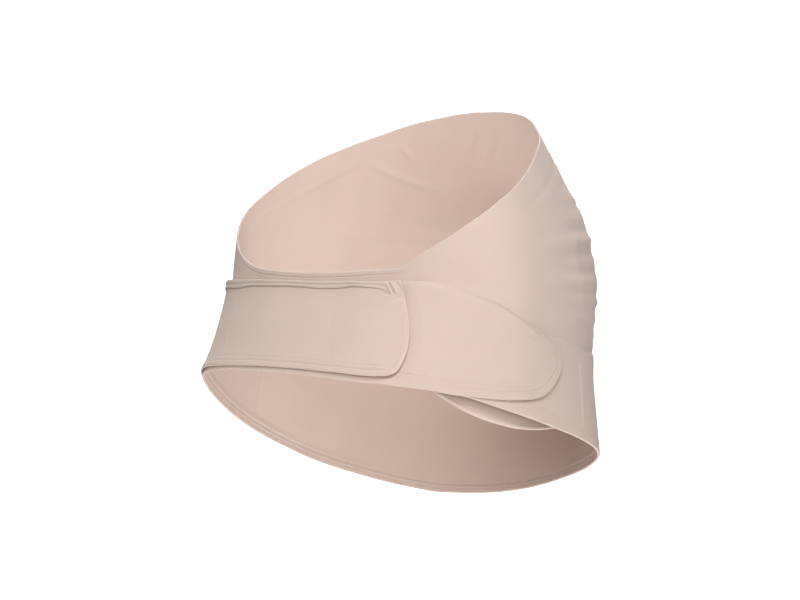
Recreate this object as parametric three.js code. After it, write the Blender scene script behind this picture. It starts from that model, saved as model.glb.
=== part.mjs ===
// Over-belly maternity support belt, empty, in the form that it has when worn.
// Millimetres, +Z up, the belly towards -Y and the wearer's right towards -X.
// The origin lies in the middle of the hollow where the body goes.
// Angles run round the body in degrees: 0 at the middle of the back, 90 at the wearer's right side,
// 180 at the middle of the belly and -90 at the wearer's left side.
import * as THREE from "three";

// Driving sizes of the body that the belt goes round
const hipHalfWidth = 180;
const bellyReach = 229;
const seatReach = 165;
const frontRise = 176;
const frontDrop = 184;
const frontSquareness = 2;
const backSquareness = 2.45;

// Driving sizes of the cloth
const clothThick = 1.6;
const layerGap = 0.6;
const seamGap = 0.5;
const bandTall = 92;
const bandLap = 8;
const droopDepth = 8;
const hookThick = 1;
const hookMargin = 14;

// Driving sizes of the folded tape along the flap
const tapeThick = 1;
const tapeTall = 8;
const tapeGap = 0.5;
const tapeCorner = 1 / 3;
const bunchTall = 6;
const bunchProud = 1.6;

// Driving sizes of the gathers and the creases
const gatherProud = 2.6;
const gatherHalfTall = 11;
const gatherReach = 26;
const creaseDepth = 1.6;
const creaseHalfWide = 7;
const creaseTaper = 0.5;

// Where the seams and the strap ends lie, in degrees
const fullTurn = 360;
const ruchedSeam = 141;
const sideSeam = 97;
const hiddenEnd = 44.5;
const flapEnd = 41.1;
const flapPatchStart = 16;
const tonguePatchStart = 68;
const tonguePatchWide = 14;
const rampWide = 3;
const bunchWide = 9;

// Sections through the body: height as a share of frontRise above the middle or of frontDrop below it,
// width of hipHalfWidth, front of bellyReach and back of seatReach
const bodySections = [
  { height: -1.05, width: 1.089, front: 0.657, back: 1.076 },
  { height: -0.72, width: 1.023, front: 0.735, back: 0.995 },
  { height: -0.42, width: 0.952, front: 0.815, back: 0.894 },
  { height: -0.18, width: 0.896, front: 0.925, back: 0.747 },
  { height: 0.1, width: 0.863, front: 1, back: 0.616 },
  { height: 0.36, width: 0.824, front: 0.947, back: 0.617 },
  { height: 0.66, width: 0.731, front: 0.782, back: 0.604 },
  { height: 1.02, width: 0.605, front: 0.559, back: 0.587 },
];

// Top rim of the panels: height as a share of frontRise
const rim = [
  { angle: -180, height: 1 },
  { angle: -172, height: 0.993 },
  { angle: -164, height: 0.977 },
  { angle: -155, height: 0.955 },
  { angle: -147, height: 0.926 },
  { angle: -139, height: 0.888 },
  { angle: -130, height: 0.846 },
  { angle: -121, height: 0.8 },
  { angle: -112, height: 0.752 },
  { angle: -102, height: 0.689 },
  { angle: -92, height: 0.616 },
  { angle: -81, height: 0.522 },
  { angle: -75, height: 0.466 },
  { angle: -70, height: 0.406 },
  { angle: -65, height: 0.342 },
  { angle: -60, height: 0.278 },
  { angle: -53, height: 0.218 },
  { angle: -47, height: 0.182 },
  { angle: -40, height: 0.16 },
  { angle: -29, height: 0.147 },
  { angle: -10, height: 0.137 },
  { angle: 10, height: 0.139 },
  { angle: 25, height: 0.148 },
  { angle: 37, height: 0.154 },
  { angle: 41, height: 0.178 },
  { angle: 45, height: 0.216 },
  { angle: 56, height: 0.313 },
  { angle: 66, height: 0.409 },
  { angle: 75, height: 0.489 },
  { angle: 85, height: 0.563 },
  { angle: 98, height: 0.659 },
  { angle: 109, height: 0.744 },
  { angle: 124, height: 0.83 },
  { angle: 133, height: 0.886 },
  { angle: 141, height: 0.926 },
  { angle: 152, height: 0.966 },
  { angle: 167, height: 0.991 },
  { angle: 180, height: 1 },
];

// Under-belly band: low is its hem as a share of frontDrop, tall its height as a share of bandTall
const frontBandRows = [
  { angle: 42, low: -0.304, tall: 0.74 },
  { angle: 44.5, low: -0.342, tall: 0.83 },
  { angle: 48, low: -0.408, tall: 0.957 },
  { angle: 56, low: -0.449, tall: 0.967 },
  { angle: 65, low: -0.5, tall: 0.978 },
  { angle: 74, low: -0.547, tall: 0.97 },
  { angle: 85, low: -0.602, tall: 0.935 },
  { angle: 92, low: -0.636, tall: 0.937 },
  { angle: 99, low: -0.673, tall: 0.976 },
  { angle: 112, low: -0.733, tall: 0.984 },
  { angle: 126, low: -0.791, tall: 1.071 },
  { angle: 137, low: -0.843, tall: 1.131 },
  { angle: 148, low: -0.894, tall: 1.165 },
  { angle: 158, low: -0.935, tall: 1.17 },
  { angle: 167, low: -0.963, tall: 1.18 },
  { angle: 180, low: -0.989, tall: 1.19 },
  { angle: 192, low: -0.997, tall: 1.19 },
  { angle: 199, low: -0.997, tall: 1.19 },
  { angle: 210, low: -0.976, tall: 1.185 },
  { angle: 220, low: -0.944, tall: 1.18 },
  { angle: 230, low: -0.898, tall: 1.175 },
  { angle: 239, low: -0.847, tall: 1.163 },
  { angle: 250, low: -0.764, tall: 1.076 },
  { angle: 262, low: -0.669, tall: 1 },
  { angle: 285, low: -0.485, tall: 0.967 },
];

// Back band and its tongue: low as a share of frontDrop, tall as a share of bandTall
const backBandRows = [
  { angle: -120, low: -0.838, tall: 1.1 },
  { angle: -98, low: -0.669, tall: 1 },
  { angle: -91, low: -0.613, tall: 0.982 },
  { angle: -80, low: -0.524, tall: 1.014 },
  { angle: -72, low: -0.461, tall: 1.006 },
  { angle: -65, low: -0.4125, tall: 0.967 },
  { angle: -58, low: -0.3815, tall: 0.916 },
  { angle: -50, low: -0.358, tall: 0.868 },
  { angle: -40, low: -0.342, tall: 0.836 },
  { angle: -30, low: -0.335, tall: 0.823 },
  { angle: -9, low: -0.346, tall: 0.8445 },
  { angle: 9, low: -0.364, tall: 0.88 },
  { angle: 24, low: -0.3835, tall: 0.925 },
  { angle: 31, low: -0.391, tall: 0.947 },
  { angle: 37, low: -0.403, tall: 0.978 },
  { angle: 45, low: -0.4195, tall: 1.013 },
  { angle: 51, low: -0.438, tall: 1.035 },
  { angle: 59, low: -0.454, tall: 1.005 },
  { angle: 69, low: -0.4685, tall: 0.909 },
  { angle: 74, low: -0.4685, tall: 0.815 },
  { angle: 78, low: -0.4625, tall: 0.727 },
  { angle: 81, low: -0.4495, tall: 0.638 },
  { angle: 84, low: -0.426, tall: 0.534 },
  { angle: 87, low: -0.395, tall: 0.41 },
  { angle: 89.5, low: -0.366, tall: 0.292 },
  { angle: 91.4, low: -0.337, tall: 0.174 },
  { angle: 92.4, low: -0.3027, tall: 0.049 },
];

// Tightening flap: heights of its lower and upper edge as shares of bandTall from the middle
const flapRows = [
  { angle: -120, low: -1.45, high: -0.49 },
  { angle: -98, low: -1.288, high: -0.32 },
  { angle: -91, low: -1.18, high: -0.21 },
  { angle: -80, low: -0.995, high: -0.005 },
  { angle: -73, low: -0.886, high: 0.11 },
  { angle: -67, low: -0.804, high: 0.168 },
  { angle: -57, low: -0.712, high: 0.182 },
  { angle: -44, low: -0.667, high: 0.184 },
  { angle: -26, low: -0.647, high: 0.179 },
  { angle: -4, low: -0.665, high: 0.162 },
  { angle: 15, low: -0.699, high: 0.16 },
  { angle: 30, low: -0.7325, high: 0.152 },
  { angle: 41, low: -0.7325, high: 0.158 },
];

// How sharply the flap's even columns turn into its rounded end
const flapEndPower = 6;

// How far the flap's free end stands back from flapEnd, in degrees, by the share of its height
const flapEndRows = [
  { up: 0, back: 8 },
  { up: 0.015, back: 6.1 },
  { up: 0.045, back: 4.5 },
  { up: 0.1, back: 3.3 },
  { up: 0.163, back: 2.3 },
  { up: 0.229, back: 1.4 },
  { up: 0.335, back: 0.5 },
  { up: 0.512, back: 0 },
  { up: 0.63, back: 0.15 },
  { up: 0.75, back: 0.4 },
  { up: 0.88, back: 1.1 },
  { up: 1, back: 1.85 },
];

// Lower edge of the wrap panel where it drops inside the band on the closing side:
// drop as a share of frontDrop, sag as a share of droopDepth
const innerEdgeRows = [
  { angle: 26, drop: 0.02, sag: 0 },
  { angle: 34, drop: -0.12, sag: 0 },
  { angle: 40, drop: -0.28, sag: 0 },
  { angle: 44, drop: -0.375, sag: 0.05 },
  { angle: 47.5, drop: -0.427, sag: 0.2 },
  { angle: 51, drop: -0.464, sag: 0.4 },
  { angle: 56, drop: -0.508, sag: 0.7 },
  { angle: 64, drop: -0.554, sag: 0.95 },
  { angle: 73, drop: -0.586, sag: 1 },
  { angle: 82, drop: -0.596, sag: 0.82 },
  { angle: 88, drop: -0.594, sag: 0.65 },
  { angle: 98, drop: -0.58, sag: 0.35 },
  { angle: 110, drop: -0.543, sag: 0.1 },
  { angle: 122, drop: -0.462, sag: 0 },
  { angle: 132, drop: -0.36, sag: 0 },
];

// Gathers along each ruched seam, from the top: height as a share of frontRise or frontDrop,
// proud of gatherProud and reach of gatherReach
const gathers = [
  { height: 0.8, proud: 0.35, reach: 0.45 },
  { height: 0.66, proud: 0.6, reach: 0.6 },
  { height: 0.48, proud: 0.8, reach: 0.7 },
  { height: 0.31, proud: 1, reach: 0.9 },
  { height: 0.14, proud: 0.9, reach: 1 },
  { height: -0.03, proud: 1, reach: 0.85 },
  { height: -0.17, proud: 0.7, reach: 0.6 },
];

// Soft creases in the panels: each runs from one angle and height to another, heights as shares of frontRise
const creases = [
  { fromAngle: -82, fromHeight: 0.415, toAngle: -133, toHeight: 0.752, depth: 0.6 },
  { fromAngle: -133, fromHeight: 0.752, toAngle: -162, toHeight: 0.575, depth: 1 },
  { fromAngle: 82, fromHeight: 0.415, toAngle: 128, toHeight: 0.7, depth: 0.5 },
  { fromAngle: 174, fromHeight: 0.9, toAngle: 184, toHeight: 0.76, depth: 0.5 },
];

// How finely the cloth is drawn: columns per piece of angle, rows per height
const fineColumn = 2.8;
const plainColumn = 4.2;
const gatherColumns = 14;
const frontPanelRows = 20;
const wrapPanelRows = 16;
const bandRows = 6;
const flapRowCount = 8;
const patchRows = 4;
const normalStep = 0.5;

function clamp01(value) {
  return Math.min(1, Math.max(0, value));
}

function smoothStep(value) {
  const share = clamp01(value);
  return share * share * (3 - 2 * share);
}

// A smooth curve through a table's rows that never swings past them
function follow(rows, along, column, at) {
  const last = rows.length - 1;
  if (at <= rows[0][along]) return rows[0][column];
  if (at >= rows[last][along]) return rows[last][column];
  let row = 0;
  while (at > rows[row + 1][along]) row += 1;
  const stepAt = (k) => rows[k + 1][along] - rows[k][along];
  const riseAt = (k) => (rows[k + 1][column] - rows[k][column]) / stepAt(k);
  const slopeAt = (k) => {
    if (k === 0) return riseAt(0);
    if (k === last) return riseAt(last - 1);
    const before = riseAt(k - 1);
    const after = riseAt(k);
    return before * after <= 0 ? 0 : (2 * before * after) / (before + after);
  };
  const step = stepAt(row);
  const t = (at - rows[row][along]) / step;
  const low = rows[row][column] * (2 * t ** 3 - 3 * t ** 2 + 1);
  const high = rows[row + 1][column] * (3 * t ** 2 - 2 * t ** 3);
  const lean = slopeAt(row) * (t ** 3 - 2 * t ** 2 + t) + slopeAt(row + 1) * (t ** 3 - t ** 2);
  return low + high + step * lean;
}

function heightFromShare(share) {
  return share > 0 ? share * frontRise : share * frontDrop;
}

function shareFromHeight(height) {
  return height > 0 ? height / frontRise : height / frontDrop;
}

// The same angle within half a turn either way of the middle of the back
function wrapAngle(angle) {
  return angle > fullTurn / 2 ? angle - fullTurn : angle;
}

// The same angle counted up from nothing, as the front band's table has it
function frontAngle(angle) {
  return angle < 0 ? angle + fullTurn : angle;
}

// A point of the body's surface: at each height an ellipse at the belly and a squarer one at the back
function bodyPoint(angle, height) {
  const turn = THREE.MathUtils.degToRad(angle);
  const share = shareFromHeight(height);
  const width = hipHalfWidth * follow(bodySections, "height", "width", share);
  const back = seatReach * follow(bodySections, "height", "back", share);
  const front = bellyReach * follow(bodySections, "height", "front", share);
  const depth = Math.cos(turn) > 0 ? back : front;
  const squareness = Math.cos(turn) > 0 ? backSquareness : frontSquareness;
  const across = Math.abs(Math.sin(turn) / width) ** squareness;
  const along = Math.abs(Math.cos(turn) / depth) ** squareness;
  const radius = (across + along) ** (-1 / squareness);
  return new THREE.Vector3(-radius * Math.sin(turn), radius * Math.cos(turn), height);
}

// A point that stands off the body's surface by proud, measured square to it
function skinPoint(angle, height, proud) {
  const round = bodyPoint(angle + normalStep, height).sub(bodyPoint(angle - normalStep, height));
  const up = bodyPoint(angle, height + normalStep).sub(bodyPoint(angle, height - normalStep));
  const outward = round.cross(up).normalize();
  return bodyPoint(angle, height).addScaledVector(outward, proud);
}

function rimHeight(angle) {
  return heightFromShare(follow(rim, "angle", "height", wrapAngle(angle)));
}

function frontBandLow(angle) {
  return frontDrop * follow(frontBandRows, "angle", "low", frontAngle(angle));
}

function frontBandHigh(angle) {
  return frontBandLow(angle) + bandTall * follow(frontBandRows, "angle", "tall", frontAngle(angle));
}

function backBandLow(angle) {
  return frontDrop * follow(backBandRows, "angle", "low", angle);
}

function backBandHigh(angle) {
  return backBandLow(angle) + bandTall * follow(backBandRows, "angle", "tall", angle);
}

// Lower edge of the wrap panel: a lap inside the bands, and the free edge on the closing side
function wrapPanelLow(angle) {
  const lastInner = innerEdgeRows[innerEdgeRows.length - 1].angle;
  const firstInner = innerEdgeRows[0].angle;
  if (angle < -sideSeam) return frontBandHigh(angle) - bandLap;
  if (angle < firstInner) {
    const joined = smoothStep((angle + sideSeam) / rampWide);
    return THREE.MathUtils.lerp(frontBandHigh(angle), backBandHigh(angle), joined) - bandLap;
  }
  const free = frontDrop * follow(innerEdgeRows, "angle", "drop", angle);
  const leave = smoothStep((angle - firstInner) / rampWide);
  const join = smoothStep((angle - lastInner) / (ruchedSeam - lastInner));
  const before = THREE.MathUtils.lerp(backBandHigh(angle) - bandLap, free, leave);
  return THREE.MathUtils.lerp(before, frontBandHigh(angle) - bandLap, join);
}

// How far the wrap panel sags inwards below the top of the band on the closing side
function sagAt(angle, height) {
  const top = frontBandHigh(angle);
  const tall = top - wrapPanelLow(angle);
  const down = smoothStep((top - height) / tall);
  return angle < hiddenEnd / 2 ? 0 : droopDepth * follow(innerEdgeRows, "angle", "sag", angle) * down;
}

// Height of the gathers above the panel's face, none where a band lies over it
function gatherAt(angle, height) {
  const away = Math.abs(Math.abs(wrapAngle(angle)) - ruchedSeam);
  const clear = smoothStep((height - frontBandHigh(angle)) / gatherHalfTall);
  const below = smoothStep((rimHeight(angle) - height) / gatherHalfTall);
  let proud = 0;
  for (const gather of gathers) {
    const off = (height - heightFromShare(gather.height)) / gatherHalfTall;
    const fade = 1 - smoothStep(away / (gatherReach * gather.reach));
    proud += gatherProud * gather.proud * Math.exp(-off * off) * fade;
  }
  return proud * clear * below;
}

// Depth of the creases at a place of the panels, none where a band lies over it
function creaseAt(angle, height) {
  const here = bodyPoint(angle, height);
  const clear = smoothStep((height - frontBandHigh(angle)) / creaseHalfWide);
  let depth = 0;
  for (const crease of creases) {
    const wrapped = crease.fromAngle < 0 ? wrapAngle(angle) : frontAngle(angle);
    const along = clamp01((wrapped - crease.fromAngle) / (crease.toAngle - crease.fromAngle));
    const lineAngle = THREE.MathUtils.lerp(crease.fromAngle, crease.toAngle, along);
    const lineShare = THREE.MathUtils.lerp(crease.fromHeight, crease.toHeight, along);
    const off = here.distanceTo(bodyPoint(lineAngle, heightFromShare(lineShare))) / creaseHalfWide;
    const taper = Math.sin(Math.PI * along) ** creaseTaper;
    depth += creaseDepth * crease.depth * taper * Math.exp(-off * off);
  }
  return depth * clear;
}

// Half the seam's gap as an angle at the sides of the body
const seamOff = THREE.MathUtils.radToDeg(seamGap / 2 / hipHalfWidth);

// Where each layer lies off the body
const firstLayer = clothThick + layerGap;
const secondLayer = firstLayer + clothThick + layerGap;
const hookRise = hookThick + layerGap;

// Where the back band starts to step up, just short of the hidden end below it
const stepLead = 1.35;
const endStep = hiddenEnd - stepLead * rampWide;

// Inner face of the back band: it steps up over the hidden end and again over the hook patch
function backBandInner(angle) {
  const overEnd = smoothStep((angle - endStep) / rampWide);
  const overHook = smoothStep((angle - tonguePatchStart + rampWide) / rampWide);
  return firstLayer + (secondLayer - firstLayer) * overEnd + hookRise * overHook;
}

function flapInner(angle) {
  return secondLayer + hookRise * smoothStep((angle - flapPatchStart + rampWide) / rampWide);
}

// Even steps between two angles, both ends included
function spread(from, to, step) {
  const count = Math.max(1, Math.round(Math.abs(to - from) / step));
  return Array.from({ length: count + 1 }, (unused, k) => from + ((to - from) * k) / count);
}

// Joins runs of angles that share their end values
function joinRuns(...runs) {
  return runs.flatMap((run, k) => (k === 0 ? run : run.slice(1)));
}

// A flat strip of faces across a loop that runs up one side and down the other
function capFaces(sides) {
  const faces = [];
  let low = 0;
  let high = sides - 1;
  while (high - low > 1) {
    faces.push([low, low + 1, high]);
    if (high - low > 2) faces.push([low + 1, high - 1, high]);
    low += 1;
    high -= 1;
  }
  return faces;
}

// Faces of a closed loop of points swept through many stations, with both ends capped
function sweepGeometry(stations) {
  const sides = stations[0].length;
  const faces = [];
  for (let i = 0; i + 1 < stations.length; i += 1) {
    for (let j = 0; j < sides; j += 1) {
      const next = (j + 1) % sides;
      const a = i * sides + j;
      const b = i * sides + next;
      const c = (i + 1) * sides + next;
      const d = (i + 1) * sides + j;
      faces.push(a, b, c, a, c, d);
    }
  }
  const lastStation = (stations.length - 1) * sides;
  for (const [p, q, r] of capFaces(sides)) {
    faces.push(r, q, p);
    faces.push(lastStation + p, lastStation + q, lastStation + r);
  }
  const geometry = new THREE.BufferGeometry();
  const numbers = stations.flat().flatMap((point) => point.toArray());
  geometry.setAttribute("position", new THREE.Float32BufferAttribute(numbers, 3));
  geometry.setIndex(faces);
  geometry.computeVertexNormals();
  return geometry;
}

// A cloth wall: at each angle a loop up its inner face and down its outer face.
// turned gives the true angle at a share of the height, for an end that isn't upright.
function clothWall({ angles, rows, low, high, inner, outer, turned = (angle) => angle }) {
  const stations = angles.map((angle) => {
    const up = [];
    const down = [];
    for (let row = 0; row <= rows; row += 1) {
      const share = row / rows;
      const here = turned(angle, share);
      const height = THREE.MathUtils.lerp(low(here), high(here), share);
      up.push(skinPoint(here, height, inner(here, height)));
      down.unshift(skinPoint(here, height, outer(here, height)));
    }
    return [...up, ...down];
  });
  return sweepGeometry(stations);
}

// The panel over the belly, between the ruched seams
function frontPanel() {
  const start = ruchedSeam + seamOff;
  const end = fullTurn - ruchedSeam - seamOff;
  const angles = joinRuns(
    spread(start, start + gatherColumns, fineColumn),
    spread(start + gatherColumns, end - gatherColumns, plainColumn),
    spread(end - gatherColumns, end, fineColumn),
  );
  return clothWall({
    angles,
    rows: frontPanelRows,
    low: (angle) => frontBandHigh(angle) - bandLap,
    high: rimHeight,
    inner: (angle, height) => gatherAt(angle, height) / 2 - creaseAt(angle, height),
    outer: (angle, height) => clothThick + gatherAt(angle, height) - creaseAt(angle, height),
  });
}

// Both side panels and the strip round the back, one piece from ruched seam to ruched seam
function wrapPanel() {
  const end = ruchedSeam - seamOff;
  const angles = joinRuns(
    spread(-end, gatherColumns - end, fineColumn),
    spread(gatherColumns - end, end - gatherColumns, plainColumn),
    spread(end - gatherColumns, end, fineColumn),
  );
  const shift = (angle, height) => -creaseAt(angle, height) - sagAt(angle, height);
  return clothWall({
    angles,
    rows: wrapPanelRows,
    low: wrapPanelLow,
    high: rimHeight,
    inner: (angle, height) => gatherAt(angle, height) / 2 + shift(angle, height),
    outer: (angle, height) => clothThick + gatherAt(angle, height) + shift(angle, height),
  });
}

// The under-belly band, from its hidden end on the closing side round the front to the left side seam
function frontBand() {
  return clothWall({
    angles: spread(hiddenEnd, fullTurn - sideSeam - seamOff, plainColumn),
    rows: bandRows,
    low: frontBandLow,
    high: frontBandHigh,
    inner: () => firstLayer,
    outer: () => firstLayer + clothThick,
  });
}

// The band over the back, from the left side seam to the rounded end of its tongue
function backBand() {
  const tongueEnd = backBandRows[backBandRows.length - 1].angle;
  const stepEnd = endStep + rampWide;
  const hookStart = tonguePatchStart - rampWide;
  const tip = tongueEnd - rampWide;
  return clothWall({
    angles: joinRuns(
      spread(seamOff - sideSeam, endStep, plainColumn),
      spread(endStep, stepEnd, rampWide / 2),
      spread(stepEnd, hookStart, plainColumn),
      spread(hookStart, tonguePatchStart, rampWide / 2),
      spread(tonguePatchStart, tip, plainColumn),
      spread(tip, tongueEnd, rampWide / 3),
    ),
    rows: bandRows,
    low: backBandLow,
    high: backBandHigh,
    inner: backBandInner,
    outer: (angle) => backBandInner(angle) + clothThick,
  });
}

function flapLow(angle) {
  return bandTall * follow(flapRows, "angle", "low", angle);
}

function flapHigh(angle) {
  return bandTall * follow(flapRows, "angle", "high", angle);
}

// Turns an even angle of the flap to the true one, so that its free end is rounded
function flapTurned(angle, share) {
  const start = seamOff - sideSeam;
  const along = (angle - start) / (flapEnd - start);
  return angle - along ** flapEndPower * follow(flapEndRows, "up", "back", share);
}

function flapAngles() {
  const hookStart = flapPatchStart - rampWide;
  const last = flapEnd - rampWide;
  return joinRuns(
    spread(seamOff - sideSeam, hookStart, plainColumn),
    spread(hookStart, flapPatchStart, rampWide / 2),
    spread(flapPatchStart, last, plainColumn),
    spread(last, flapEnd, rampWide / 2),
  );
}

// The strap over the back band that tightens it, free at its rounded end
function tighteningFlap() {
  return clothWall({
    angles: flapAngles(),
    rows: flapRowCount,
    low: flapLow,
    high: flapHigh,
    inner: flapInner,
    outer: (angle) => flapInner(angle) + clothThick,
    turned: flapTurned,
  });
}

// The tape folded over the flap's upper edge, taller and fuller where it is bunched at the free end
function flapBinding() {
  const start = seamOff - sideSeam;
  const stations = flapAngles().map((even) => {
    const angle = flapTurned(even, 1);
    const bunch = smoothStep((even - flapEnd + bunchWide) / bunchWide);
    const top = flapHigh(angle);
    const inside = flapInner(angle);
    const face = inside + clothThick + tapeGap;
    const proud = face + tapeThick + bunchProud * bunch;
    const tall = tapeTall + bunchTall * bunch;
    const crown = top + tapeGap + tapeThick;
    const corner = tapeThick * tapeCorner;
    const loop = [
      [inside, crown - corner],
      [inside, top + tapeGap],
      [face, top + tapeGap],
      [face, top - tall],
      [proud - corner, top - tall],
      [proud, top - tall + corner],
      [proud, crown - corner],
      [proud - corner, crown],
      [inside + corner, crown],
    ];
    return loop.map(([off, height]) => skinPoint(angle, height, off));
  });
  return sweepGeometry(stations.map((loop) => loop.slice().reverse()));
}

// A plain hook patch between two straps, set in from their edges by hookMargin
function hookPatch({ from, to, low, high }) {
  return clothWall({
    angles: spread(from, to, plainColumn),
    rows: patchRows,
    low: (angle) => low(angle) + hookMargin,
    high: (angle) => high(angle) - hookMargin,
    inner: () => secondLayer,
    outer: () => secondLayer + hookThick,
  });
}

// Colours of the cloth, read by eye
const palette = {
  panel: { color: 0xdac4b6, roughness: 0.9 },
  band: { color: 0xd6beaf, roughness: 0.88 },
  strap: { color: 0xd9c3b5, roughness: 0.88 },
  tape: { color: 0xd3bbac, roughness: 0.85 },
  hook: { color: 0xcdb6a7, roughness: 0.95 },
};

const belt = new THREE.Group();
belt.name = "maternity_support_belt";

function addPiece(name, geometry, finish) {
  const material = new THREE.MeshStandardMaterial({ ...palette[finish], metalness: 0 });
  const piece = new THREE.Mesh(geometry, material);
  piece.name = name;
  belt.add(piece);
}

addPiece("front_panel", frontPanel(), "panel");
addPiece("wrap_panel", wrapPanel(), "panel");
addPiece("front_band", frontBand(), "band");
addPiece("back_band", backBand(), "band");
addPiece("tightening_flap", tighteningFlap(), "strap");
addPiece("flap_binding", flapBinding(), "tape");
addPiece(
  "flap_hook_patch",
  hookPatch({ from: flapPatchStart, to: flapEnd - rampWide, low: flapLow, high: flapHigh }),
  "hook",
);
addPiece(
  "tongue_hook_patch",
  hookPatch({
    from: tonguePatchStart,
    to: tonguePatchStart + tonguePatchWide,
    low: backBandLow,
    high: backBandHigh,
  }),
  "hook",
);

export default belt;
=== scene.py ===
import math

import bmesh
import bpy
import numpy as np
from mathutils.kdtree import KDTree
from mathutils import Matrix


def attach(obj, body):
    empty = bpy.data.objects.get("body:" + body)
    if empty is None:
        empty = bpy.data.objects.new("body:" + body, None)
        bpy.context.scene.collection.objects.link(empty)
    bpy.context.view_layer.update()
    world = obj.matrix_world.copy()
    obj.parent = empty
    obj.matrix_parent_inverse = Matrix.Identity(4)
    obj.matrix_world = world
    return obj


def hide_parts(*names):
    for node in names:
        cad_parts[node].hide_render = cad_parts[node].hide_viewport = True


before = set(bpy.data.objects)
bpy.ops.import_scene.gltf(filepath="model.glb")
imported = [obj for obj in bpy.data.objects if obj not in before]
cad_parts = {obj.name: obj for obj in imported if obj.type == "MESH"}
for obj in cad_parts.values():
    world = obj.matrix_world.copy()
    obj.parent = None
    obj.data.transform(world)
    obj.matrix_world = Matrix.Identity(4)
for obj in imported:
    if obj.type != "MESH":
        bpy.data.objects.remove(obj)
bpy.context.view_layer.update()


# Sizes of the body that the belt goes round
HIP_HALF_WIDTH = 180.0
BELLY_REACH = 229.0
SEAT_REACH = 165.0
FRONT_RISE = 176.0
FRONT_DROP = 184.0
FRONT_SQUARENESS = 2.0
BACK_SQUARENESS = 2.45

# Sizes of the cloth
CLOTH_THICK = 1.6
LAYER_GAP = 0.6
BAND_TALL = 92.0
BAND_LAP = 8.0
DROOP_DEPTH = 8.0
HOOK_THICK = 1.0
HOOK_MARGIN = 14.0
HEM_WIDE = 11.0
HEM_FIRST_ROW = 7.2
FACING_ROWS = (3.4, HEM_FIRST_ROW, 10.4)
NEEDLE_HALF_WIDE = 0.9
HEM_RISE = 0.3
INNER_HEM_WIDE = 11.0
RIM_HEM_WIDE = 4.6
RIM_RISE = 0.22
DROOP_HEM_WIDE = 3.6
FLAP_ROLL_WIDE = 4.6
PANEL_FACE = 1.75
TAPE_CROWN = 1.4
THREAD_HALF_THICK = 0.27
STITCH_PITCH = 3.4
STITCH_LONG = 2.5

# Seams and strap ends, in degrees
RUCHED_SEAM = 141.0
SIDE_SEAM = 97.0
SEAM_SLIVER = 0.003
HIDDEN_END = 44.5
FLAP_END = 41.1
FLAP_PATCH_START = 16.0
TONGUE_PATCH_START = 68.0
TONGUE_PATCH_END = 82.0
RAMP_WIDE = 3.0
FLAP_END_POWER = 6.0

# Sections through the body: height as a share of the rise or drop, width of the hips,
# front of the belly and back of the seat
BODY_SECTIONS = {
    "height": (-1.05, -0.72, -0.42, -0.18, 0.1, 0.36, 0.66, 1.02),
    "width": (1.089, 1.023, 0.952, 0.896, 0.863, 0.824, 0.731, 0.605),
    "front": (0.657, 0.735, 0.815, 0.925, 1.0, 0.947, 0.782, 0.559),
    "back": (1.076, 0.995, 0.894, 0.747, 0.616, 0.617, 0.604, 0.587),
}

# Top rim: angle, height as a share of the rise
RIM = (
    (-180, 1.0), (-172, 0.993), (-164, 0.977), (-155, 0.955), (-147, 0.926), (-139, 0.888),
    (-130, 0.846), (-121, 0.8), (-112, 0.752), (-102, 0.689), (-92, 0.616), (-81, 0.522),
    (-75, 0.466), (-70, 0.406), (-65, 0.342), (-60, 0.278), (-53, 0.218), (-47, 0.182),
    (-40, 0.16), (-29, 0.147), (-10, 0.137), (10, 0.139), (25, 0.148), (37, 0.154),
    (41, 0.178), (45, 0.216), (56, 0.313), (66, 0.409), (75, 0.489), (85, 0.563),
    (98, 0.659), (109, 0.744), (124, 0.83), (133, 0.886), (141, 0.926), (152, 0.966),
    (167, 0.991), (180, 1.0),
)

# Under-belly band: angle, low as a share of the drop, tall as a share of the band's height
FRONT_BAND = (
    (42, -0.304, 0.74), (44.5, -0.342, 0.83), (48, -0.408, 0.957), (56, -0.449, 0.967),
    (65, -0.5, 0.978), (74, -0.547, 0.97), (85, -0.602, 0.935), (92, -0.636, 0.937),
    (99, -0.673, 0.976), (112, -0.733, 0.984), (126, -0.791, 1.071), (137, -0.843, 1.131),
    (148, -0.894, 1.165), (158, -0.935, 1.17), (167, -0.963, 1.18), (180, -0.989, 1.19),
    (192, -0.997, 1.19), (199, -0.997, 1.19), (210, -0.976, 1.185), (220, -0.944, 1.18),
    (230, -0.898, 1.175), (239, -0.847, 1.163), (250, -0.764, 1.076), (262, -0.669, 1.0),
    (285, -0.485, 0.967),
)

# Back band and its tongue: angle, low as a share of the drop, tall as a share of the band's height
BACK_BAND = (
    (-120, -0.838, 1.1), (-98, -0.669, 1.0), (-91, -0.613, 0.982), (-80, -0.524, 1.014),
    (-72, -0.461, 1.006), (-65, -0.4125, 0.967), (-58, -0.3815, 0.916), (-50, -0.358, 0.868),
    (-40, -0.342, 0.836), (-30, -0.335, 0.823), (-9, -0.346, 0.8445), (9, -0.364, 0.88),
    (24, -0.3835, 0.925), (31, -0.391, 0.947), (37, -0.403, 0.978), (45, -0.4195, 1.013),
    (51, -0.438, 1.035), (59, -0.454, 1.005), (69, -0.4685, 0.909), (74, -0.4685, 0.815),
    (78, -0.4625, 0.727), (81, -0.4495, 0.638), (84, -0.426, 0.534), (87, -0.395, 0.41),
    (89.5, -0.366, 0.292), (91.4, -0.337, 0.174), (92.4, -0.3027, 0.049),
)

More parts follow.
